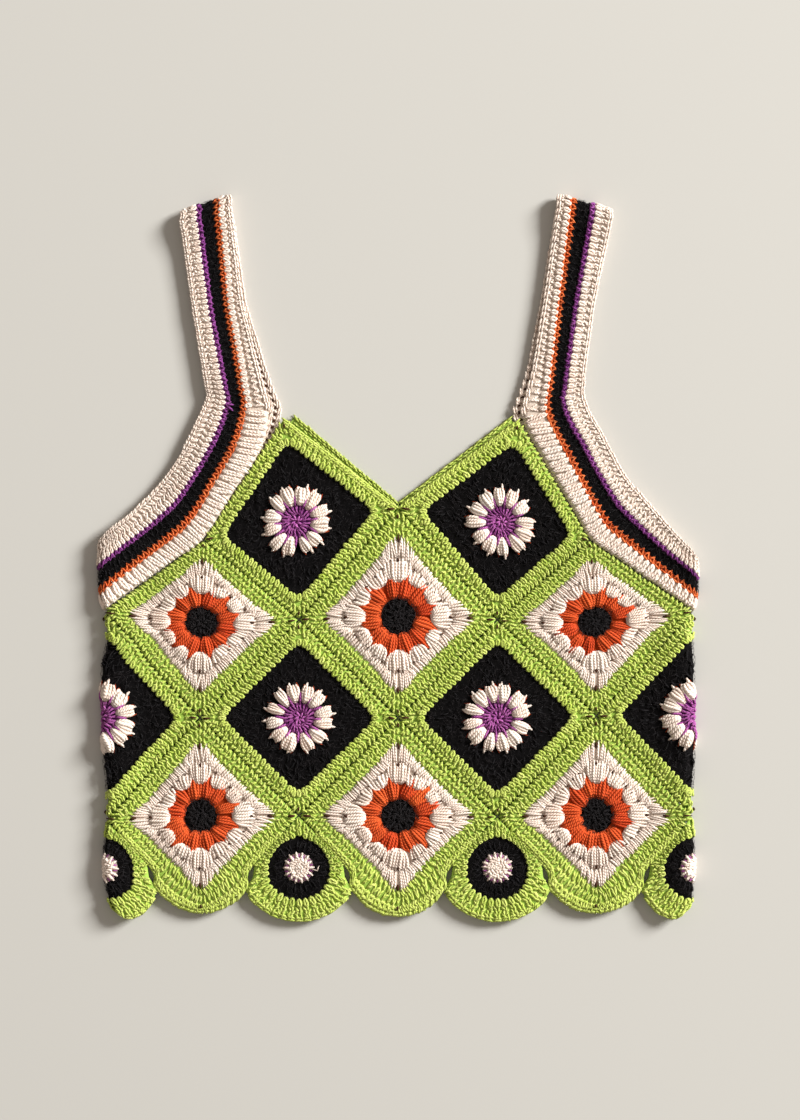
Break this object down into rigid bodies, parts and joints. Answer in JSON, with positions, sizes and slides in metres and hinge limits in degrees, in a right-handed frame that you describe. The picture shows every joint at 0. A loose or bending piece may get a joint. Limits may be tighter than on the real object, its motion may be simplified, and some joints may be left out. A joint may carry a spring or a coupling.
{
  "type": "crocheted cotton top",
  "caption": "Sleeveless crocheted top of motif squares set on point, with striped armhole bands that run on as shoulder straps, laid flat.",
  "frame": {"origin": "middle of the bounding box's bottom face, on the surface that the garment lies on", "axes": "+Y from the hem towards the straps, +Z out of the front and away from the surface, +X to the right as seen from above the front"},
  "size_m": [0.4342, 0.5242, 0.0118],
  "materials": {
    "cream_cotton": "matt crocheted cotton yarn",
    "green_cotton": "matt crocheted cotton yarn",
    "black_mohair": "fuzzy crocheted mohair yarn",
    "orange_cotton": "matt crocheted cotton yarn",
    "purple_cotton": "matt crocheted cotton yarn"
  },
  "bodies": {
    "root": {"back_fourth_left": "cream_cotton", "back_fourth_middle": "cream_cotton", "back_fourth_right": "cream_cotton", "back_hem_left": "green_cotton", "back_hem_right": "green_cotton", "back_second_left": "cream_cotton", "back_second_middle": "cream_cotton", "back_second_right": "cream_cotton", "back_third_left": "black_mohair", "back_third_right": "black_mohair", "back_top_left": "black_mohair", "back_top_right": "black_mohair", "band_left": "cream_cotton", "band_right": "cream_cotton", "front_fourth_left": "cream_cotton", "front_fourth_middle": "cream_cotton", "front_fourth_right": "cream_cotton", "front_hem_left": "green_cotton", "front_hem_right": "green_cotton", "front_second_left": "cream_cotton", "front_second_middle": "cream_cotton", "front_second_right": "cream_cotton", "front_third_left": "black_mohair", "front_third_right": "black_mohair", "front_top_left": "black_mohair", "front_top_right": "black_mohair", "side_hem_left": "green_cotton", "side_hem_right": "green_cotton", "side_third_left": "black_mohair", "side_third_right": "black_mohair"}
  },
  "joints": []
}
